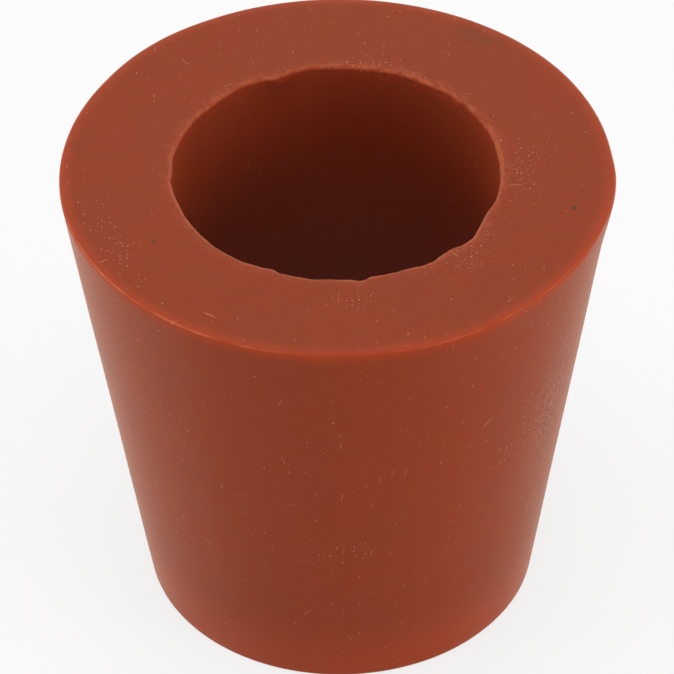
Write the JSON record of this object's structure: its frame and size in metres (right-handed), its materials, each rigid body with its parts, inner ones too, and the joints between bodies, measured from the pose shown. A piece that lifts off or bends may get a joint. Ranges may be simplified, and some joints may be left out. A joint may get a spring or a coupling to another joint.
{
  "type": "rubber stopper",
  "caption": "Tapered round rubber stopper with a large straight hole through its middle, for sealing a flask neck round a tube.",
  "frame": {"origin": "centre of the small end's face, which the stopper stands on", "axes": "+Z along the axis of the taper and the hole, from the small end to the large end; the torn places in the upper lip lie on the -Y side"},
  "size_m": [0.0498, 0.0498, 0.046],
  "materials": {
    "rubber": "matt moulded natural rubber, red-brown, with a faint bloom and dust"
  },
  "bodies": {
    "root": {"stopper": "rubber"}
  },
  "joints": []
}
